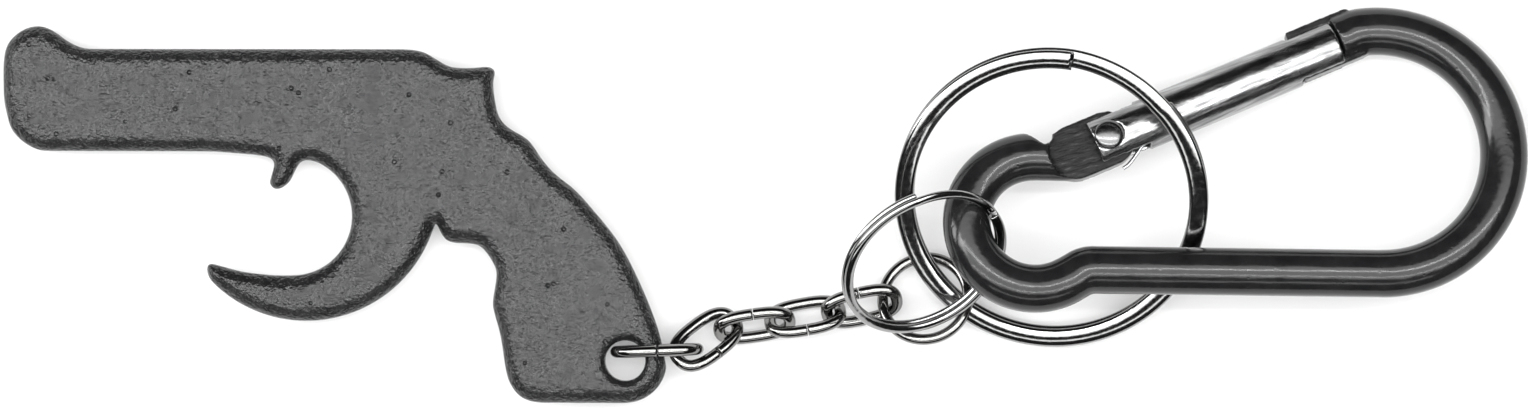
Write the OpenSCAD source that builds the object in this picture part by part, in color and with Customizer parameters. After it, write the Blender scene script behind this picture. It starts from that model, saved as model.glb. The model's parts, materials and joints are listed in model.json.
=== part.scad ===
// Bottle opener on a keychain: a flat opener plate, a short chain,
// two split rings and a snap hook. Millimetres, +Z up from the table.

/* [Opener plate] */
// Thickness of the flat opener plate
plate_t = 3.4; // [2.5:0.1:3.5]
// Radius of the keyring hole in the plate
hole_r = 2.15; // [2.1:0.05:2.3]

/* [Chain] */
// Wire diameter of the chain links
link_d = 1.3; // [1.1:0.05:1.35]
// Outer length of a small chain link
link_len = 8.7; // [8.5:0.1:8.8]
// Outer width of a small chain link
link_w = 5.2; // [5.1:0.05:5.3]
// Outer length of the connector link through the plate
connector_len = 9.8; // [9.6:0.1:9.9]
// Outer width of the connector link
connector_w = 6.5; // [6.4:0.05:6.6]
// Outer diameter of the jump ring
jump_od = 10; // [9.8:0.1:10.2]
// Wire diameter of the jump ring
jump_d = 1.15; // [1:0.05:1.2]

/* [Split rings] */
// Outer diameter of the large split ring
key_od = 32.6; // [32:0.1:33]
// Radial width of the large ring's wire
key_wire_w = 2; // [1.6:0.1:2.1]
// Axial thickness of one coil of the large ring
key_wire_t = 0.9; // [0.7:0.05:0.95]
// Outer diameter of the small split ring
eye_od = 18.2; // [18:0.1:18.4]
// Radial width of the small ring's wire
eye_wire_w = 1; // [0.8:0.05:1.1]
// Axial thickness of one coil of the small ring
eye_wire_t = 0.7; // [0.6:0.05:0.75]

/* [Snap hook] */
// Diameter of the bent rod of the hook
rod_d = 5; // [4.6:0.1:5]
// Centreline radius of the wide bow
bow_r = 12.95; // [12.8:0.05:13.1]
// Centreline radius of the small eye
eye_r = 7; // [6.9:0.05:7.1]
// Width of the flattened tongues at both rod ends
tongue_w = 5.8; // [5.4:0.1:5.9]
// Thickness of the flattened tongues
tongue_t = 2; // [1.6:0.1:2.1]
// Outer diameter of the tubular gate
gate_d = 5.3; // [5:0.1:5.4]
// Length of the gate beyond its rivet
gate_reach = 26.1; // [25.9:0.05:26.2]
// Diameter of the rivet's domed heads
rivet_head_d = 3.1; // [2.8:0.1:3.3]

/* [Hidden] */
$fn = 48;

// Where each piece lies: position, then rotation
plate_at = [-14.4, -16.05, 1.5];
plate_turn = [0, -1.28, 0];
connector_at = [-11.15, -15, 3.25];
connector_turn = [90, 0, 2];
// Small links: position, then roll, pitch and heading
link_places = [
    [[-6.06, -13.85, 2.9], [-17, 18, 37]],
    [[-1, -12.4, 2.25], [52, 0, 8]],
    [[4.3, -11.5, 2.05], [-45, 0, 10]],
    [[10.2, -10.4, 2.15], [43, -1, 12.4]]
];
// Rings: position, then tilt of the ring's axis and where it leans to
jump_at = [16.9, -9.6, 2.65];
jump_lean = [21.4, 115];
key_at = [29.85, 0.9, 6.55];
key_lean = [20, -106];
eye_ring_at = [16.55, -5.6, 10.82];
eye_ring_lean = [45, -57.7];
// Snap hook: place of its rivet, lean of its plane, and its spin in that plane
hook_at = [35.65, 6.9, 6.42];
hook_lean = [13.2, 78.9];
hook_spin = -55.7;

// Split rings: angle of the step from coil to coil, and where it is
key_step = 41;
key_step_at = 167;
eye_step = 69;
eye_step_at = 128;
coil_gap = 0.04;
arc_step = 7.5;

rod_r = rod_d / 2;
gate_r = gate_d / 2;
gate_bore_r = 1.75;
gate_tail = 1.6;
slot_t = tongue_t + 0.5;
pivot_slot = 3.9;
nose_slot = gate_reach - 4.9;
rivet_r = 0.75;
rivet_fit = 0.01;
rivet_play = 0.05;
rivet_seat = 2.3;
nose_x = 28.2;
nose_y = 0.4;
nose_low = -2.3;
nose_high = 3.1;
tongue_from = -3.7;
shoulder_x = gate_reach + 0.5;
crease_r = 2.8;
rod_lap = 0.2;
rod_ease = 0.02;
spring_r = 1.3;
spring_wire = 0.4;

function arc(c, r, from, to, n) =
    [for (i = [0 : n]) c + r * [cos(from + (to - from) * i / n), sin(from + (to - from) * i / n)]];

// Point at share t between b and c of a smooth curve through a, b, c and d
function between(a, b, c, d, t) =
    0.5 * (2 * b + (c - a) * t + (2 * a - 5 * b + 4 * c - d) * t * t
        + (3 * b - a - 3 * c + d) * t * t * t);

// Smooth open curve through hand-set points
function curve(p, n = 4) = let (last = len(p) - 1) [
    for (i = [0 : last - 1], k = [0 : n - 1])
        between(p[max(i - 1, 0)], p[i], p[i + 1], p[min(i + 2, last)], k / n),
    p[last]
];

// Outline of the opener, measured from the centre of its keyring hole
barrel_top = curve([
    [-64.9, 27], [-64.85, 32], [-63.6, 34.1], [-61.6, 34.95], [-59.9, 34.5],
    [-58, 33.1], [-56.4, 32.5]
]);
hammer = curve([
    [-22.8, 32.45], [-21.3, 32.25], [-20.2, 31.7], [-18.7, 30.75], [-17.5, 30.5],
    [-15.7, 30.5], [-14.5, 30.65], [-13.8, 30.4], [-13.6, 29.9], [-13.85, 28.9],
    [-13.6, 27], [-13.2, 25.3], [-12.1, 24.15], [-10.6, 23.35], [-9.7, 22.5],
    [-8.8, 21.05], [-7.4, 19.45], [-5.4, 17.9], [-3.3, 15.6], [-0.5, 12],
    [1.95, 7.1], [3.55, 2.8], [4.25, -0.7]
]);
butt_corner = arc([0, -0.1], 4.35, -8, -88, 8);
grip = curve([
    [-9.2, -4.4], [-10.8, -3.95], [-11.8, -2.8], [-12.4, -1.4], [-13, 2.5],
    [-13.65, 4.9], [-13.85, 6.1], [-13.4, 8.8], [-13.6, 9.8], [-14.3, 11],
    [-15.1, 11.9], [-16.1, 12.2], [-18.3, 12.3], [-19.1, 13.05], [-19.75, 14.45]
]);
hook_outside = arc([-33.3, 18.05], 13.95, -15, -137, 18);
mouth_lip = curve([[-43.7, 9.55], [-43.4, 10.15], [-42.1, 9.8], [-39.7, 9.2], [-36.5, 8.85]]);
mouth = arc([-34.7, 15.05], 6.2, -94, 71, 16);
trigger = curve([
    [-33.85, 20.9], [-34.5, 19.8], [-35, 18.7], [-35.8, 18], [-36.6, 17.85],
    [-37.1, 18.4], [-37, 19.1], [-36.6, 20.4], [-37, 21.1], [-38.3, 21.4],
    [-40.6, 21.6], [-43.3, 21.8]
]);
muzzle = curve([[-61.1, 21.85], [-62.8, 22.65], [-64.2, 24.1]]);
outline = concat(
    barrel_top, hammer, butt_corner, grip, hook_outside,
    mouth_lip, mouth, trigger, muzzle
);

// Notch pressed into the rod's outer side, just behind its flat tongue
neck = [[-7.7, 3.9], [-6.5, 1.6], [-5.2, 2.3], [-4.8, 5], [-7.7, 5]];

// Rounded rectangle, radial width w and axial thickness t, with cut corners
function wire_section(w, t) = let (c = 0.3 * t) [
    [w / 2, c - t / 2], [w / 2, t / 2 - c], [w / 2 - c, t / 2], [c - w / 2, t / 2],
    [-w / 2, t / 2 - c], [-w / 2, c - t / 2], [c - w / 2, -t / 2], [w / 2 - c, -t / 2]
];

// Closed solid through rings of points; each ring has the same number
module skin_rings(rings) {
    n = len(rings[0]);
    m = len(rings);
    polyhedron(
        points = [for (ring = rings, p = ring) p],
        faces = concat(
            [[for (j = [0 : n - 1]) j]],
            [for (i = [0 : m - 2], j = [0 : n - 1]) let (k = (j + 1) % n)
                [i * n + j, (i + 1) * n + j, (i + 1) * n + k, i * n + k]],
            [[for (j = [n - 1 : -1 : 0]) (m - 1) * n + j]]
        ),
        convexity = 8
    );
}

// Height of the wire along a two-coil ring that steps up over its middle
function coil_z(a, step, rise) =
    a < 360 - step / 2 ? -rise / 2
    : a > 360 + step / 2 ? rise / 2
    : rise * (a - 360) / step;

// Split ring: two coils of flat wire, one above the other; wind is 1 or -1
module split_ring(od, w, t, step, step_at, wind) {
    r = (od - w) / 2;
    rise = t + coil_gap;
    section = wire_section(w, t);
    first = step / 2;
    turns = 720 - step;
    count = ceil(turns / arc_step);
    skin_rings([
        for (i = [0 : count]) let (a = first + turns * i / count, g = step_at + wind * a) [
            for (k = [0 : 7]) let (s = section[wind > 0 ? k : 7 - k]) [
                (r + s[0]) * cos(g),
                (r + s[0]) * sin(g),
                s[1] + coil_z(a, step, rise)
            ]
        ]
    ]);
}

// Oval link of round wire, lying flat with its length along X
module link(length, width, d) {
    r = (width - d) / 2;
    half = (length - width) / 2;
    for (side = [0, 180]) rotate(side) {
        translate([half, 0, 0]) rotate(-90) rotate_extrude(angle = 180)
            translate([r, 0]) circle(d = d);
        translate([0, r, 0]) rotate([0, 90, 0]) cylinder(d = d, h = 2 * half, center = true);
    }
}

module small_link(i) {
    color("silver") translate(link_places[i][0]) rotate(link_places[i][1])
        link(link_len, link_w, link_d);
}

module lean(at, how) {
    translate(at) rotate([0, how[0], how[1]]) children();
}

module hook_frame() {
    lean(hook_at, hook_lean) rotate(hook_spin) children();
}

// Round rod along a list of legs: straight length, left turn or right turn.
// A straight leg is a hair thinner than a turn and laps into both its neighbours.
module rod(legs, i = 0) {
    if (i < len(legs)) {
        kind = legs[i][0];
        size = legs[i][1];
        turn = legs[i][2];
        if (kind == "straight") {
            translate([-rod_lap, 0, 0]) rotate([0, 90, 0])
                cylinder(r = rod_r - rod_ease, h = size + 2 * rod_lap);
            translate([size, 0, 0]) rod(legs, i + 1);
        }
        if (kind == "left") {
            translate([0, size, 0]) rotate(-90) rotate_extrude(angle = turn)
                translate([size, 0]) circle(r = rod_r);
            translate([0, size, 0]) rotate(turn) translate([0, -size, 0]) rod(legs, i + 1);
        }
        if (kind == "right") {
            translate([0, -size, 0]) rotate(90 - turn) rotate_extrude(angle = turn)
                translate([size, 0]) circle(r = rod_r);
            translate([0, -size, 0]) rotate(-turn) translate([0, size, 0]) rod(legs, i + 1);
        }
    }
}

// Flat tongue with round ends, from x = a to x = b
module tongue(a, b, w) {
    linear_extrude(height = tongue_t, center = true) {
        translate([a, 0]) circle(d = w);
        translate([b, 0]) circle(d = w);
        translate([a, -w / 2]) square([b - a, w]);
    }
}

module opener_plate() {
    color("dimgray") translate(plate_at) rotate(plate_turn) difference() {
        linear_extrude(height = plate_t) polygon(outline);
        translate([0, 0, -1]) cylinder(r = hole_r, h = plate_t + 2);
    }
}

module connector_link() {
    color("silver") translate(connector_at) rotate(connector_turn)
        link(connector_len, connector_w, link_d);
}

module chain_link_1() {
    small_link(0);
}

module chain_link_2() {
    small_link(1);
}

module chain_link_3() {
    small_link(2);
}

module chain_link_4() {
    small_link(3);
}

module jump_ring() {
    color("silver") lean(jump_at, jump_lean) difference() {
        rotate_extrude() translate([(jump_od - jump_d) / 2, 0]) circle(d = jump_d);
        rotate(60) translate([jump_od / 2, 0, 0]) cube([3, 0.12, 3], center = true);
    }
}

module key_ring() {
    color("lightgray") lean(key_at, key_lean)
        split_ring(key_od, key_wire_w, key_wire_t, key_step, key_step_at, -1);
}

module eye_ring() {
    color("lightgray") lean(eye_ring_at, eye_ring_lean)
        split_ring(eye_od, eye_wire_w, eye_wire_t, eye_step, eye_step_at, 1);
}

module carabiner_frame() {
    legs = [
        ["straight", nose_x - shoulder_x, 0],
        ["right", crease_r, 15],
        ["straight", 0.1, 0],
        ["right", bow_r, 188.7],
        ["straight", 29.9, 0],
        ["left", crease_r, 31],
        ["straight", 1.3, 0],
        ["right", eye_r, 211.3],
        ["straight", 3.5, 0]
    ];
    color("darkslategray") hook_frame() difference() {
        union() {
            translate([shoulder_x, nose_y, 0]) rod(legs);
            tongue(tongue_from, 0, tongue_w);
            translate([nose_slot + 0.4, nose_low, -tongue_t / 2])
                cube([nose_x - nose_slot, nose_high - nose_low, tongue_t]);
        }
        for (side = [-1, 1]) translate([tongue_from, 0, side * (tongue_t / 2 + 3)]) {
            cylinder(d = tongue_w, h = 6, center = true);
            translate([0, -6, -3]) cube([4.5 - tongue_from, 12, 6]);
        }
        linear_extrude(height = 8, center = true) polygon(neck);
        cylinder(r = rivet_r + rivet_play, h = 8, center = true);
    }
}

module gate_sleeve() {
    color("gainsboro") hook_frame() difference() {
        translate([-gate_tail, 0, 0]) rotate([0, 90, 0])
            cylinder(r = gate_r, h = gate_tail + gate_reach);
        translate([-gate_tail - 1, 0, 0]) rotate([0, 90, 0])
            cylinder(r = gate_bore_r, h = gate_tail + gate_reach + 2);
        translate([-gate_tail - 1, -gate_d / 2 - 1, -slot_t / 2])
            cube([pivot_slot + gate_tail + 1, gate_d + 2, slot_t]);
        translate([nose_slot, -gate_d / 2 - 1, -slot_t / 2])
            cube([gate_reach, gate_d + 2, slot_t]);
        cylinder(r = rivet_r + rivet_fit, h = 2 * gate_d, center = true);
        for (side = [0, 180]) rotate([side, 0, 0]) translate([0, 0, rivet_seat])
            cylinder(d = rivet_head_d + 0.2, h = 3);
    }
}

module gate_rivet() {
    color("whitesmoke") hook_frame() {
        cylinder(r = rivet_r, h = 2 * rivet_seat + 0.6, center = true);
        for (side = [0, 180]) rotate([side, 0, 0]) translate([0, 0, rivet_seat + 0.02])
            intersection() {
                translate([0, 0, -1.4]) sphere(r = 2.1);
                cylinder(d = rivet_head_d, h = 1);
            }
    }
}

// Point of the spring's coil at angle a, wound along the gate
function spring_point(a, r) = [pivot_slot + 1 + a / 360 * 1.1, r * cos(a), r * sin(a)];

// Point on the wire's surface: j-th of six around the coil's own line
function spring_ring(a) = [
    for (j = [0 : 5]) let (w = spring_wire / 2)
        spring_point(a, spring_r + w * cos(60 * j)) + [w * sin(60 * j), 0, 0]
];

module gate_spring() {
    color("gray") hook_frame()
        skin_rings([for (a = [0 : 24 : 360 * 8]) spring_ring(a)]);
}

opener_plate();
connector_link();
chain_link_1();
chain_link_2();
chain_link_3();
chain_link_4();
jump_ring();
key_ring();
carabiner_frame();
gate_sleeve();
gate_rivet();
gate_spring();
eye_ring();
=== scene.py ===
import bpy
import bmesh
import json
import math
import numpy as np
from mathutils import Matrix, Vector, geometry, noise


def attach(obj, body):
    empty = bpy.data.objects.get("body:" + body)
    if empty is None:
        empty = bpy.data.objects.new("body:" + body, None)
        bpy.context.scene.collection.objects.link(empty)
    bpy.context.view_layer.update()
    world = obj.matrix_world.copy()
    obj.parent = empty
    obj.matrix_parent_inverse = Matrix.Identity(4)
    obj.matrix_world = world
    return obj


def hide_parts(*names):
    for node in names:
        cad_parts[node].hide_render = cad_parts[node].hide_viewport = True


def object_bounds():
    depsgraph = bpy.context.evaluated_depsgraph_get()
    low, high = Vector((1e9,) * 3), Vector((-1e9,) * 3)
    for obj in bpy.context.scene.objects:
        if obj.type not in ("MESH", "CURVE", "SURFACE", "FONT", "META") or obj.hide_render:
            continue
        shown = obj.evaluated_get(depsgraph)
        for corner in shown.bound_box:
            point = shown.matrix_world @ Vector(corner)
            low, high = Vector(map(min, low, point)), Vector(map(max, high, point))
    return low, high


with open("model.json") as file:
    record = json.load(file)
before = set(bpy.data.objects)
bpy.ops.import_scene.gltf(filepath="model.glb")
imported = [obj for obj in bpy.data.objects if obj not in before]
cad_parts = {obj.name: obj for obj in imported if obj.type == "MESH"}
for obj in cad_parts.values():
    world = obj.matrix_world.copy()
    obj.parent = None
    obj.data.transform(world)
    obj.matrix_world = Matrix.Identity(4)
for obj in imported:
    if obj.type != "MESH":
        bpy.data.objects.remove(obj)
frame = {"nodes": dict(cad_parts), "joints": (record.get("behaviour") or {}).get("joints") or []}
cad_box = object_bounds()
nodes = frame["nodes"]
joints = {j["name"]: j for j in frame["joints"]}
MM = 0.001

# A cut wire's end: its shoulder and its face, as shares of the wire's width
END_SHOULDER = 0.94
END_FACE = 0.8
# How many points of its path the far cap is set back
FAR_CAP_BACK = 2
# Rounds of smoothing on a remeshed copy
SOFTENING = 3


# ---------------------------------------------------------------- mesh helpers

def merged(node):
    """The CAD node's mesh with its seams welded, as a bmesh."""
    bm = bmesh.new()
    bm.from_mesh(nodes[node].data)
    bmesh.ops.remove_doubles(bm, verts=bm.verts, dist=1e-7)
    bm.normal_update()
    return bm


def surface_axes(node):
    """Centre and axes (longest first) of a node's surface, as numpy arrays."""
    bm = merged(node)
    bmesh.ops.triangulate(bm, faces=bm.faces)
    tris = np.array([[v.co for v in f.verts] for f in bm.faces], float)
    bm.free()
    area = np.linalg.norm(np.cross(tris[:, 1] - tris[:, 0], tris[:, 2] - tris[:, 0]), axis=1) / 2
    centre = (area[:, None] * tris.mean(1)).sum(0) / area.sum()
    t = tris - centre
    total = t.sum(1)
    cov = sum(np.einsum("n,ni,nj->ij", area, t[:, k], t[:, k]) for k in range(3))
    cov = (cov + np.einsum("n,ni,nj->ij", area, total, total)) / 12
    axes = np.linalg.eigh(cov)[1].T[::-1]
    if axes[2][2] < 0:
        axes[2] = -axes[2]
    axes[1] = np.cross(axes[2], axes[0])
    points = tris.reshape(-1, 3)
    return centre, axes, points


def piece(name, verts, faces, body, material):
    """A smooth shaded mesh object that rides on a CAD body."""
    me = bpy.data.meshes.new(name)
    me.from_pydata([tuple(float(c) for c in v) for v in verts], [], faces)
    bm = bmesh.new()
    bm.from_mesh(me)
    bmesh.ops.recalc_face_normals(bm, faces=bm.faces)
    bm.to_mesh(me)
    bm.free()
    me.polygons.foreach_set("use_smooth", [True] * len(me.polygons))
    me.update()
    ob = bpy.data.objects.new(name, me)
    bpy.context.scene.collection.objects.link(ob)
    ob.data.materials.append(material)
    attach(ob, body)
    return ob


def skin(rings):
    """Vertices and faces of a tube through rings of points, closed at both ends."""
    n, m = len(rings[0]), len(rings)
    verts = np.concatenate([np.asarray(r, float) for r in rings])
    faces = []
    for a in range(0, (m - 1) * n, n):
        faces += [(a + j, a + (j + 1) % n, a + n + (j + 1) % n, a + n + j) for j in range(n)]
    faces += [tuple(range(n))[::-1], tuple((m - 1) * n + j for j in range(n))]
    return verts, faces


def swept(path, up, section, ends):
    """Rings of a section swept along an open path, with a smaller cap at each end.
    The section's second axis keeps to `up`, a direction or a function of the point's number.
    `ends` is how far the edge at each cap is pulled in. The far cap lies inside the wire."""
    path = np.asarray(path, float)
    last = len(path) - 1
    rings = []
    for i in range(last + 1):
        t = path[min(i + 1, last)] - path[max(i - 1, 0)]
        t /= np.linalg.norm(t)
        side = np.cross(t, up(i) if callable(up) else up)
        side /= np.linalg.norm(side)
        rings.append(path[i] + section[:, :1] * side + section[:, 1:] * np.cross(side, t))
    caps = []
    for at, inward in ((0, path[1] - path[0]), (last - FAR_CAP_BACK, path[last - 1] - path[last])):
        t = inward / np.linalg.norm(inward)
        c = rings[at].mean(0)
        spread = rings[at] - c
        caps.append([c + spread * END_SHOULDER + t * ends * 0.3, c + spread * END_FACE])
        rings[at] = rings[at] + t * ends
    return caps[0][::-1] + rings + caps[1]


def round_section(d, n):
    """Circle of diameter d."""
    a = np.linspace(0, 2 * np.pi, n, endpoint=False)
    return np.stack([np.cos(a), np.sin(a)], 1) * d / 2


def flat_section(w, t):
    """Slightly squared ellipse, w across and t high."""
    power = 2.05
    a = np.linspace(0, 2 * np.pi, 32, endpoint=False)
    c, s = np.cos(a), np.sin(a)
    return np.stack([
        np.sign(c) * np.abs(c) ** (2 / power) * w / 2,
        np.sign(s) * np.abs(s) ** (2 / power) * t / 2,
    ], 1)


def soft_copy(name, node, voxel, body, material):
    """A finely remeshed copy of a CAD node, with its edges softly broken."""
    bm = merged(node)
    me = bpy.data.meshes.new(name)
    bm.to_mesh(me)
    bm.free()
    me.materials.clear()
    ob = bpy.data.objects.new(name, me)
    bpy.context.scene.collection.objects.link(ob)
    remesh = ob.modifiers.new("remesh", "REMESH")
    remesh.mode = "VOXEL"
    remesh.voxel_size = voxel
    remesh.adaptivity = 0
    smooth = ob.modifiers.new("smooth", "SMOOTH")
    smooth.factor = 0.5
    smooth.iterations = SOFTENING
    final = bpy.data.meshes.new_from_object(ob.evaluated_get(bpy.context.evaluated_depsgraph_get()))
    ob.modifiers.clear()
    ob.data = final
    final.name = name
    final.polygons.foreach_set("use_smooth", [True] * len(final.polygons))
    final.materials.clear()
    final.materials.append(material)
    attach(ob, body)
    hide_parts(node)
    return ob


# ---------------------------------------------------------------- materials

class Nodes:
    """A small helper for building a procedural material."""

    def __init__(self, name):
        self.mat = bpy.data.materials.new(name)
        self.mat.use_nodes = True
        self.tree = self.mat.node_tree
        self.bsdf = self.tree.nodes["Principled BSDF"]
        self.coord = self.tree.nodes.new("ShaderNodeTexCoord").outputs["Object"]

    def add(self, kind):
        return self.tree.nodes.new(kind)

    def link(self, a, b):
        self.tree.links.new(a, b)

    def scaled(self, scale, turn):
        m = self.add("ShaderNodeMapping")
        m.vector_type = "TEXTURE"
        m.inputs["Rotation"].default_value = (0, 0, turn)
        m.inputs["Scale"].default_value = tuple(1 / k for k in scale)
        self.link(self.coord, m.inputs["Vector"])
        return m.outputs["Vector"]

    def noise(self, per_mm, detail=3.0, rough=0.5, stretch=(1, 1, 1), turn=0.0):
        """Noise with about per_mm bumps a millimetre."""
        n = self.add("ShaderNodeTexNoise")
        n.inputs["Scale"].default_value = per_mm * 1000
        n.inputs["Detail"].default_value = detail
        n.inputs["Roughness"].default_value = rough
        self.link(self.scaled(stretch, turn), n.inputs["Vector"])
        return n.outputs["Fac"]

    def cells(self, per_mm):
        """Distance to the nearest of about per_mm scattered points a millimetre."""
        n = self.add("ShaderNodeTexVoronoi")
        n.inputs["Scale"].default_value = per_mm * 1000
        self.link(self.coord, n.inputs["Vector"])
        return n.outputs["Distance"]

    def ramp(self, fac, stops):
        n = self.add("ShaderNodeValToRGB")
        e = n.color_ramp.elements
        while len(e) < len(stops):
            e.new(0.5)
        for k, (p, c) in enumerate(stops):
            e[k].position = p
            e[k].color = tuple(c) + (1,) if hasattr(c, "__len__") else (c, c, c, 1)
        self.link(fac, n.inputs["Fac"])
        return n.outputs["Color"]

    def to_range(self, fac, low, high, a=0.3, b=0.7):
        n = self.add("ShaderNodeMapRange")
        n.inputs["From Min"].default_value = a
        n.inputs["From Max"].default_value = b
        n.inputs["To Min"].default_value = low
        n.inputs["To Max"].default_value = high
        self.link(fac, n.inputs["Value"])
        return n.outputs["Result"]

    def bump(self, height, depth_mm, normal=None, strength=1.0):
        n = self.add("ShaderNodeBump")
        n.inputs["Strength"].default_value = strength
        n.inputs["Distance"].default_value = depth_mm * MM
        self.link(height, n.inputs["Height"])
        if normal is not None:
            self.link(normal, n.inputs["Normal"])
        return n.outputs["Normal"]

    def set(self, **values):
        for key, value in values.items():
            socket = self.bsdf.inputs[key.replace("_", " ")]
            if isinstance(value, bpy.types.NodeSocket):
                self.link(value, socket)
            else:
                socket.default_value = value
        return self.mat


def black_coat():
    """The opener's thick black coat, with an orange-peel surface and scattered pits."""
    m = Nodes("black_coat")
    colour = m.ramp(m.noise(0.5, 4), [(0.35, (0.008, 0.008, 0.0085)), (0.65, (0.014, 0.014, 0.0145))])
    rough = m.to_range(m.noise(1.6, 4), 0.1, 0.17)
    pits = m.ramp(m.cells(0.45), [(0.0, 0.0), (0.07, 0.35), (0.13, 1.0)])
    n1 = m.bump(m.noise(1.3, 3, 0.5), 0.2, strength=0.7)
    n2 = m.bump(m.noise(2.6, 2, 0.5), 0.15, n1, strength=0.8)
    n3 = m.bump(pits, 0.16, n2, strength=1.0)
    return m.set(Base_Color=colour, Roughness=rough, Normal=n3, IOR=1.42)


def anodised():
    """The hook's smooth black finish, with fine specks."""
    m = Nodes("anodised_rod")
    colour = m.ramp(m.noise(0.5, 5, 0.6), [(0.3, (0.006, 0.006, 0.0065)), (0.7, (0.012, 0.012, 0.0125))])
    rough = m.to_range(m.noise(2.2, 5, 0.65), 0.1, 0.22)
    specks = m.ramp(m.cells(0.8), [(0.0, 0.0), (0.08, 0.5), (0.14, 1.0)])
    n1 = m.bump(m.noise(1.6, 5, 0.6), 0.02, strength=0.5)
    n2 = m.bump(specks, 0.03, n1, strength=0.5)
    return m.set(Base_Color=colour, Roughness=rough, Normal=n2, IOR=1.44)


def pressed_flat():
    """The hook's tongue, where pressing left fine lighter lines."""
    m = Nodes("pressed_flat")
    lines = m.noise(1.6, 5, 0.65, stretch=(0.3, 1.6, 1), turn=0.3)
    colour = m.ramp(lines, [(0.35, 0.008), (0.6, 0.02), (0.75, 0.12)])
    n1 = m.bump(lines, 0.12, strength=0.8)
    return m.set(Base_Color=colour, Roughness=m.to_range(lines, 0.2, 0.4), Normal=n1, IOR=1.2)


def bright_aluminium(turn):
    """The gate's tube, made by drawing, with streaks along it that are partly real drawing marks and
    partly painted reflection streaks in its colour; `turn` is the gate's heading in radians.
    """
    m = Nodes("bright_gate")
    drawing_and_painted_reflection_streaks = m.noise(2.4, 4, 0.6, stretch=(0.06, 1, 1), turn=turn)
    # The colour's dark and light bands along the tube are partly real drawing marks and partly painted
    # reflection streaks, standing in for the reflections along the tube.
    stops = [(0.3, (0.13, 0.13, 0.131)), (0.5, (0.26, 0.26, 0.261)), (0.7, (0.46, 0.46, 0.462))]
    colour = m.ramp(drawing_and_painted_reflection_streaks, stops)
    rough = m.to_range(m.noise(1.6, 4, 0.6, stretch=(0.2, 1, 1), turn=turn), 0.14, 0.28)
    n1 = m.bump(drawing_and_painted_reflection_streaks, 0.035, strength=0.6)
    n2 = m.bump(m.noise(1.2, 4, 0.6), 0.03, n1, strength=0.4)
    return m.set(Base_Color=colour, Metallic=1.0, Roughness=rough, Normal=n2)


def plated(name, tint, low, high):
    """Smooth bright metal of roughness low to high."""
    m = Nodes(name)
    colour = m.ramp(m.noise(0.8, 4), [(0.3, tuple(c * 0.86 for c in tint)), (0.7, tint)])
    rough = m.to_range(m.noise(2.5, 4), low, high)
    n1 = m.bump(m.noise(1.3, 3), 0.02, strength=0.5)
    return m.set(Base_Color=colour, Metallic=1.0, Roughness=rough, Normal=n1)


def spring_steel():
    """Dull spring wire, made by drawing."""
    m = Nodes("spring_wire")
    colour = m.ramp(m.noise(2.0, 3), [(0.3, (0.42, 0.42, 0.43)), (0.7, (0.58, 0.58, 0.59))])
    return m.set(Base_Color=colour, Metallic=1.0, Roughness=m.to_range(m.noise(4.0, 3), 0.22, 0.4))


COAT = black_coat()
ROD = anodised()
PRESSED = pressed_flat()
WIRE = plated("plated_wire", (0.21, 0.209, 0.205), 0.06, 0.14)
RING = plated("ring_steel", (0.32, 0.32, 0.318), 0.07, 0.15)
RIVET = plated("rivet_metal", (0.15, 0.15, 0.15), 0.16, 0.26)
SPRING = spring_steel()


# ---------------------------------------------------------------- opener plate

# All in millimetres
EDGE_ROUND = 1.4
HOLE_ROUND = 0.8
EDGE_STEPS = (0.06, 0.16, 0.3, 0.48, 0.7, 0.95, 1.25)
HOLE_STEPS = (0.06, 0.16, 0.32, 0.55, 0.8)
EDGE_SPACING = 0.4
HOLE_SPACING = 0.3
GRID_PITCH = 0.42
GRID_FROM_EDGE = 1.45
GRID_FROM_HOLE = 1.0
# The coat's waves: height, and how many to a millimetre
COAT_WAVES = ((0.03, 0.35), (0.016, 0.95), (0.008, 2.1))
DENT_DEPTH = 0.05
DENT_SIZE = 0.13
DENTS_PER_MM = 0.42
# How far the coat's middle lies under the rounded edge's top, and over what distance it gets there
COAT_SINK = 0.07
COAT_FADE = 0.8


def loops_of(edges):
    """Closed vertex loops from a set of edges."""
    near = {}
    for a, b in edges:
        near.setdefault(a, []).append(b)
        near.setdefault(b, []).append(a)
    loops, left = [], set(near)
    while left:
        start = min(left)
        loop, previous, at = [start], None, start
        while True:
            following = [v for v in near[at] if v != previous][0]
            if following == start:
                break
            loop.append(following)
            previous, at = at, following
        left -= set(loop)
        loops.append(loop)
    return loops


def evenly(loop, step):
    """A closed 2D loop with points about `step` apart, its corners a little eased."""
    out = []
    for a, b in zip(loop, np.roll(loop, -1, 0)):
        n = max(1, int(round(np.linalg.norm(b - a) / step)))
        out += [a + (b - a) * k / n for k in range(n)]
    out = np.array(out)
    for _ in range(4):
        out = 0.5 * out + 0.25 * (np.roll(out, 1, 0) + np.roll(out, -1, 0))
    return out


def distance(points, loop):
    """Distance from each point to a closed loop, and whether the point is inside it."""
    a, b = loop, np.roll(loop, -1, 0)
    ab = b - a
    best = np.full(len(points), 1e9)
    inside = np.zeros(len(points), bool)
    for k in range(0, len(points), 2000):
        p = points[k:k + 2000, None, :]
        t = np.clip(((p - a) * ab).sum(2) / (ab * ab).sum(1), 0, 1)
        best[k:k + 2000] = np.linalg.norm(p - (a + t[..., None] * ab), axis=2).min(1)
        y = p[:, :, 1]
        cross = (a[:, 1] > y) != (b[:, 1] > y)
        with np.errstate(divide="ignore", invalid="ignore"):
            x = a[:, 0] + (y - a[:, 1]) * ab[:, 0] / ab[:, 1]
        inside[k:k + 2000] = (cross & (p[:, :, 0] < x)).sum(1) % 2 == 1
    return best, inside


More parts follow.
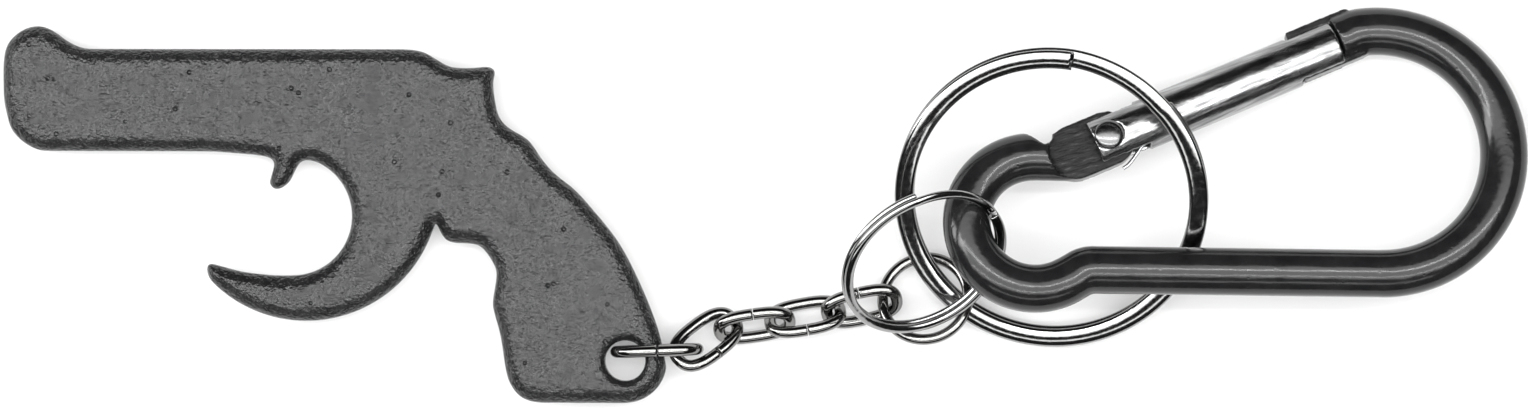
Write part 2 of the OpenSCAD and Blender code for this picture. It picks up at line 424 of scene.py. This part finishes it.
def opener():
    """The plate on the CAD outline, with rounded edges and a slightly uneven coat."""
    bm = merged("opener_plate")
    top = [f for f in bm.faces if f.normal.z > 0.9]
    normal = sum((f.normal * f.calc_area() for f in top), Vector()).normalized()
    x = (Vector((1, 0, 0)) - normal * normal.x).normalized()
    y = normal.cross(x)
    heights = [v.co.dot(normal) for v in bm.verts]
    high, low = max(heights), min(heights)
    count = {}
    for f in top:
        for e in f.edges:
            key = tuple(sorted(v.index for v in e.verts))
            count[key] = count.get(key, 0) + 1
    loops = loops_of([k for k, n in count.items() if n == 1])
    corners = [(v.co.dot(x), v.co.dot(y)) for v in bm.verts]
    flat = [np.array([corners[i] for i in loop]) / MM for loop in loops]
    bm.free()
    flat.sort(key=lambda q: -np.ptp(q[:, 0]))
    edge, hole = evenly(flat[0], EDGE_SPACING), evenly(flat[1], HOLE_SPACING)
    half = (high - low) / MM / 2
    middle = (high + low) / 2

    def inset(loop, steps):
        """Copies of a loop, each a step further into the plate."""
        t = np.roll(loop, -1, 0) - np.roll(loop, 1, 0)
        t /= np.linalg.norm(t, axis=1)[:, None]
        n = np.stack([-t[:, 1], t[:, 0]], 1)
        probe = distance(loop + 0.05 * n, edge)[1] & ~distance(loop + 0.05 * n, hole)[1]
        n[~probe] *= -1
        return np.concatenate([loop + n * s for s in steps])

    band = np.concatenate([inset(edge, EDGE_STEPS), inset(hole, HOLE_STEPS)])
    wanted = np.concatenate([np.repeat(EDGE_STEPS, len(edge)), np.repeat(HOLE_STEPS, len(hole))])
    lo, hi = edge.min(0), edge.max(0)
    rows = np.arange(lo[1], hi[1], GRID_PITCH * 0.866)
    grid = []
    for k, row in enumerate(rows):
        along = np.arange(lo[0] + (k % 2) * GRID_PITCH / 2, hi[0], GRID_PITCH)
        grid.append(np.stack([along, np.full(len(along), row)], 1))
    grid = np.concatenate(grid)

    def clearance(p):
        """Distance to the outline and to the hole, and whether there is metal at each point."""
        de, ie = distance(p, edge)
        dh, ih = distance(p, hole)
        return de, dh, ie & ~ih

    de, dh, ok = clearance(band)
    band = band[ok & (np.minimum(de, dh) > wanted * 0.93)]
    de, dh, ok = clearance(grid)
    grid = grid[ok & (de > GRID_FROM_EDGE) & (dh > GRID_FROM_HOLE)]
    n_edge, n_hole = len(edge), len(hole)
    points = np.concatenate([edge, hole, band, grid])
    rim = [(i, (i + 1) % n_edge) for i in range(n_edge)]
    rim += [(n_edge + i, n_edge + (i + 1) % n_hole) for i in range(n_hole)]
    got = geometry.delaunay_2d_cdt([Vector(p) for p in points], rim, [], 0, 1e-6)
    flat_points = np.array([tuple(v) for v in got[0]])
    tris = [tuple(f) for f in got[2]]
    centres = np.array([flat_points[list(f)].mean(0) for f in tris])
    keep = clearance(centres)[2]
    tris = [f for f, k in zip(tris, keep) if k]
    de, dh, _ = clearance(flat_points)
    on_rim = (de < 1e-4) | (dh < 1e-4)

    def fall(s, r):
        """How far a rounded edge of reach r has dropped at distance s from the outline."""
        power = 1.5
        u = 1 - np.minimum(s, r) / r
        return r * (1 - np.maximum(1 - u ** power, 0) ** (1 / power))

    drop = np.maximum(fall(de, EDGE_ROUND), fall(dh, HOLE_ROUND))

    def relief(side):
        """Unevenness of the coat in millimetres: three sizes of wave, and shallow dents."""
        out = []
        for p, d in zip(flat_points, np.minimum(de, dh)):
            q = Vector((p[0], p[1], 7.0 * side))
            h = sum(height * noise.noise(q * per_mm) for height, per_mm in COAT_WAVES)
            cell = noise.voronoi(q * DENTS_PER_MM)[0][0]
            h -= DENT_DEPTH * max(0.0, 1 - cell / DENT_SIZE) ** 1.5
            out.append((h - COAT_SINK) * min(1.0, d / COAT_FADE))
        return np.array(out)

    verts, faces = [], []
    for side in (1, -1):
        z = half - drop + relief(side)
        z = np.where(on_rim, half - np.where(de < dh, EDGE_ROUND, HOLE_ROUND), z)
        verts += [middle * normal + (x * p[0] + y * p[1]) * MM + normal * (side * h * MM)
                  for p, h in zip(flat_points, z)]
        faces += [tuple(i + (0 if side == 1 else len(flat_points)) for i in f) for f in tris]
    index = {}
    for out, sources in enumerate(got[3]):
        for source in sources:
            index[source] = out
    n = len(flat_points)
    for a, b in rim:
        faces.append((index[a], index[b], index[b] + n, index[a] + n))
    ob = piece("opener_body", verts, faces, "opener", COAT)
    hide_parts("opener_plate")


opener()


# ---------------------------------------------------------------- chain and jump ring

BUTT_GAP = 0.01 * MM
LINK_SPACING = 0.22 * MM
# The visible wire as a share of the CAD wire, so that links clear each other when they swing
LINK_WIRE = 0.97
JUMP_RING_GAP = 0.12 * MM


def oval(length, width, d, count, gap):
    """Centreline of an oval link with a butt joint in the middle of its +Y side."""
    power = 2.7
    a, b = (length - d) / 2, (width - d) / 2
    start = math.pi / 2 - gap / 2 / a
    t = np.linspace(start, start - 2 * math.pi + gap / a, count)
    c, s = np.cos(t), np.sin(t)
    return np.stack([
        a * np.sign(c) * np.abs(c) ** (2 / power),
        b * np.sign(s) * np.abs(s) ** (2 / power),
    ], 1)


def respaced(path, step):
    """The same open line with its points evenly about `step` apart."""
    run = np.concatenate([[0], np.cumsum(np.linalg.norm(np.diff(path, axis=0), axis=1))])
    at = np.linspace(0, run[-1], int(round(run[-1] / step)) + 1)
    return np.stack([np.interp(at, run, path[:, k]) for k in range(path.shape[1])], 1)


def oval_link(node, body, turn):
    """A link of round wire in the CAD link's place, its joint on the other side if `turn`."""
    c, ax, pts = surface_axes(node)
    if turn:
        ax = np.array([-ax[0], -ax[1], ax[2]])
    local = (pts - c) @ ax.T
    length, width, d = np.ptp(local, 0)
    flat = respaced(oval(length, width, d, 900, BUTT_GAP), LINK_SPACING)
    path = c + flat[:, :1] * ax[0] + flat[:, 1:] * ax[1]
    rings = swept(path, ax[2], round_section(d * LINK_WIRE, 24), ends=BUTT_GAP)
    verts, faces = skin(rings)
    ob = piece(node + "_wire", verts, faces, body, WIRE)
    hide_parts(node)


oval_link("connector_link", "connector", False)
for k in range(1, 5):
    oval_link("chain_link_%d" % k, "link_%d" % k, k % 2 == 0)


def jump_ring():
    """The open ring at the chain's end, cut where the CAD ring is cut."""
    c, ax, pts = surface_axes("jump_ring")
    local = (pts - c) @ ax.T
    d = np.ptp(local[:, 2])
    r = np.linalg.norm(local[:, :2], axis=1).max() - d / 2
    bm = merged("jump_ring")
    bmesh.ops.triangulate(bm, faces=bm.faces)
    cut = Vector((0, 0, 0))
    for f in bm.faces:
        p = np.array(f.calc_center_median()) - c
        q = np.array([p @ ax[0], p @ ax[1]])
        q /= np.linalg.norm(q)
        tangent = -q[1] * ax[0] + q[0] * ax[1]
        if abs(np.array(f.normal) @ tangent) > 0.97:
            cut += Vector((q[0], q[1], 0)) * f.calc_area()
    bm.free()
    start = math.atan2(cut.y, cut.x)
    half_gap = math.asin(JUMP_RING_GAP / 2 / r)
    a = np.linspace(start + half_gap, start + 2 * math.pi - half_gap, 150)
    path = c + r * (np.cos(a)[:, None] * ax[0] + np.sin(a)[:, None] * ax[1])
    rings = swept(path, ax[2], round_section(d, 24), ends=JUMP_RING_GAP / 2)
    verts, faces = skin(rings)
    ob = piece("jump_ring_wire", verts, faces, "jump", WIRE)
    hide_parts("jump_ring")


jump_ring()


# ---------------------------------------------------------------- split rings

COIL_GAP = 0.04 * MM
COIL_POINTS = 420


def bare_arc(points):
    """The widest arc, in degrees, where a coil's flat side has no points."""
    angle = np.sort(np.degrees(np.arctan2(points[:, 1], points[:, 0])) % 360)
    holes = np.diff(np.append(angle, angle[0] + 360))
    k = int(holes.argmax())
    return angle[k], angle[k] + holes[k]


def split_ring(node, body):
    """A two-coil ring of flattened wire on the CAD ring's own place, wire and step."""
    c, ax, pts = surface_axes(node)

    # The ring's plane is the flat top of its upper coil
    normal = ax[2]
    for _ in range(3):
        h = (pts - c) @ normal
        near = pts[h > h.max() - 0.04 * MM]
        fit = np.linalg.svd(near - near.mean(0), full_matrices=False)[2][2]
        normal = fit if fit @ normal > 0 else -fit
    x = np.cross([0, 1, 0], normal)
    x /= np.linalg.norm(x)
    y = np.cross(normal, x)

    # Its centre is that of the circle through its outermost points
    for margin in (0.2 * MM, 0.05 * MM, 0.05 * MM):
        q = np.stack([(pts - c) @ x, (pts - c) @ y], 1)
        rad = np.linalg.norm(q, axis=1)
        rim = q[rad > rad.max() - margin]
        system = np.column_stack([rim, np.ones(len(rim))])
        fit = np.linalg.lstsq(system, (rim ** 2).sum(1), rcond=None)[0]
        c = c + x * fit[0] / 2 + y * fit[1] / 2
    h = (pts - c) @ normal
    c = c + normal * (h.max() + h.min()) / 2
    h = (pts - c) @ normal
    q = np.stack([(pts - c) @ x, (pts - c) @ y], 1)
    rad = np.linalg.norm(q, axis=1)

    # The wire steps from one coil to the other where neither flat side has points
    upper = bare_arc(q[h > h.max() - 0.02 * MM])
    lower = bare_arc(q[h < h.min() + 0.02 * MM])
    turn = round((upper[0] - lower[0]) / 360) * 360
    first, last = max(upper[0], lower[0] + turn), min(upper[1], lower[1] + turn)
    step, at = last - first, (first + last) / 2
    turned = (np.degrees(np.arctan2(q[:, 1], q[:, 0])) - at + 180) % 360 - 180
    rising = np.abs(turned) < step / 2 - 1
    wind = 1 if (turned[rising] * h[rising]).sum() > 0 else -1
    outer, inner = rad.max(), rad.min()
    height = h.max() - h.min()
    r, w = (outer + inner) / 2, outer - inner
    t = (height - COIL_GAP) / 2
    rise = height - t
    a = np.arange(step / 2, 720 - step / 2 + 0.01, (720 - step) / COIL_POINTS)
    lift = rise * np.clip((a - 360) / step, -0.5, 0.5)
    g = np.radians(at + wind * a)
    path = c + r * (np.cos(g)[:, None] * x + np.sin(g)[:, None] * y) + lift[:, None] * normal
    rings = swept(path, normal, flat_section(w, t), ends=0.12 * MM)
    verts, faces = skin(rings)
    ob = piece(node + "_coils", verts, faces, body, RING)
    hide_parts(node)


split_ring("key_ring", "key_ring")
split_ring("eye_ring", "eye_ring")


# ---------------------------------------------------------------- snap hook

ROD_VOXEL = 0.22 * MM
GATE_VOXEL = 0.15 * MM
# The tongue's pressed flats: how far their faces lie from the pivot, along the rivet and across the tongue
FLAT_HEIGHT = 1.15 * MM
FLAT_REACH = 3.2 * MM
# Rivet and spring, in millimetres
RIVET_DOME = 0.6
RIVET_SHANK = 0.76
SPRING_WIRE = 0.4
SPRING_PITCH = 1.1

hinge = joints["gate_hinge"]
pivot = np.array(hinge["pos_m"], float)
gate_z = -np.array(hinge["axis"], float)
gate_c, gate_axes, _ = surface_axes("gate_sleeve")
gate_x = gate_axes[0] if (gate_c - pivot) @ gate_axes[0] > 0 else -gate_axes[0]
gate_x = gate_x - gate_z * (gate_x @ gate_z)
gate_x /= np.linalg.norm(gate_x)
gate_y = np.cross(gate_z, gate_x)
GATE = bright_aluminium(math.atan2(gate_x[1], gate_x[0]))

rod = soft_copy("hook_rod", "carabiner_frame", ROD_VOXEL, "hook", ROD)
rod.data.materials.append(PRESSED)
for face in rod.data.polygons:
    c = np.array(face.center) - pivot
    level = abs(np.array(face.normal) @ gate_z) > 0.8
    if level and abs(c @ gate_z) < FLAT_HEIGHT and abs(c @ gate_y) < FLAT_REACH:
        face.material_index = 1
soft_copy("gate_tube", "gate_sleeve", GATE_VOXEL, "gate", GATE)


def at_gate(p):
    """A place given in the gate's own millimetres from its pivot, as a point in the frame."""
    return pivot + (gate_x * p[0] + gate_y * p[1] + gate_z * p[2]) * MM


def rivet():
    """The rivet, with a low dome at both ends."""
    pts = np.array([v.co for v in nodes["gate_rivet"].data.vertices]) - pivot
    half = np.abs(pts @ gate_z).max() / MM
    head = np.linalg.norm(pts - (pts @ gate_z)[:, None] * gate_z, axis=1).max() / MM
    seat = half - RIVET_DOME - 0.1
    slopes = np.linspace(0.06, math.pi / 2, 12)
    dome = [(head * math.sin(b), seat + 0.1 + RIVET_DOME * math.cos(b)) for b in slopes]
    side = dome + [(head - 0.02, seat + 0.05), (head - 0.1, seat), (RIVET_SHANK, seat)]
    profile = side + [(rr, -zz) for rr, zz in side[::-1]]
    around = np.linspace(0, 2 * math.pi, 48, endpoint=False)
    rings = [[at_gate((rr * math.cos(b), rr * math.sin(b), zz)) for b in around] for rr, zz in profile]
    verts, faces = skin(rings)
    ob = piece("rivet_domed", verts, faces, "gate", RIVET)
    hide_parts("gate_rivet")


rivet()


def spring():
    """The gate's spring, with a tail that comes out under the gate and lies below the tongue."""
    pts = (np.array([v.co for v in nodes["gate_spring"].data.vertices]) - pivot) / MM
    along = pts @ gate_x
    wire_r = SPRING_WIRE / 2
    first, last = along.min() + wire_r, along.max() - wire_r
    coil_r = np.linalg.norm(np.stack([pts @ gate_y, pts @ gate_z], 1), axis=1).max() - wire_r
    turns = (last - first) / SPRING_PITCH
    tail = [
        (0.3, -3.42, 0), (0.9, -3.3, 0), (1.6, -2.95, 0), (2.4, -2.42, 0),
        (3.2, -1.92, 0), (3.9, -1.5, 0), (4.5, -1.32, 0.05),
    ]
    path = list(tail)
    n = int(turns * 40)
    for i in range(1, n + 1):
        b = 2 * math.pi * turns * i / n + math.pi
        path.append((first + (last - first) * i / n, coil_r * math.cos(b), coil_r * math.sin(b)))
    path = np.array([at_gate(p) for p in path])
    section = round_section(SPRING_WIRE * MM, 12)
    rings = swept(path, lambda i: gate_x if i >= len(tail) else gate_z, section, ends=0.05 * MM)
    verts, faces = skin(rings)
    ob = piece("spring_coil", verts, faces, "gate", SPRING)
    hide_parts("gate_spring")


spring()


# ---------------------------------------------------------------- floor, lights, camera

FLOOR_HALF = 2.0
CAMERA_HEIGHT = 0.888


def floor():
    """A plain pale floor just under the part, which glows a little so that it stays white."""
    z = cad_box[0][2] - 0.02 * MM
    corners = [(sx * FLOOR_HALF, sy * FLOOR_HALF, z) for sx, sy in ((-1, -1), (1, -1), (1, 1), (-1, 1))]
    me = bpy.data.meshes.new("floor")
    me.from_pydata(corners, [], [(0, 1, 2, 3)])
    ob = bpy.data.objects.new("floor", me)
    bpy.context.scene.collection.objects.link(ob)
    m = Nodes("pale_floor")
    colour = m.ramp(m.noise(0.02, 2), [(0.3, (0.5, 0.5, 0.5)), (0.7, (0.52, 0.52, 0.52))])
    me.materials.append(m.set(Base_Color=colour, Roughness=0.9, Specular_IOR_Level=0.1,
                              Emission_Color=(1, 1, 1, 1), Emission_Strength=0.3))


floor()


def softbox(name, at, size, power):
    """A rectangular light that faces the middle of the part, sizes in metres and power in watts."""
    data = bpy.data.lights.new(name, "AREA")
    data.shape = "RECTANGLE"
    data.size, data.size_y = size
    data.energy = power
    ob = bpy.data.objects.new(name, data)
    bpy.context.scene.collection.objects.link(ob)
    ob.location = at
    ob.rotation_euler = (-Vector(at)).to_track_quat("-Z", "Y").to_euler()


softbox("overhead", (0, 0, 1.0), (2.2, 1.05), 25)
softbox("strip_back", (0, 0.16, 0.98), (1.8, 0.035), 6)
softbox("strip_front", (0, -0.3, 0.97), (1.8, 0.03), 3)
softbox("left_box", (-0.85, 0.1, 0.5), (0.25, 0.7), 5)
softbox("front_box", (0, -0.95, 0.8), (1.6, 0.16), 2.2)

world = bpy.data.worlds.new("studio")
bpy.context.scene.world = world
world.use_nodes = True
world.node_tree.nodes["Background"].inputs["Color"].default_value = (0.03, 0.03, 0.03, 1)

cam = bpy.data.cameras.new("camera")
cam.lens = 200
cam.sensor_width = 36
cam.clip_start = 0.01
camera = bpy.data.objects.new("camera", cam)
bpy.context.scene.collection.objects.link(camera)
camera.location = (0, 0, CAMERA_HEIGHT)
bpy.context.scene.camera = camera
bpy.context.scene.view_settings.view_transform = "Standard"
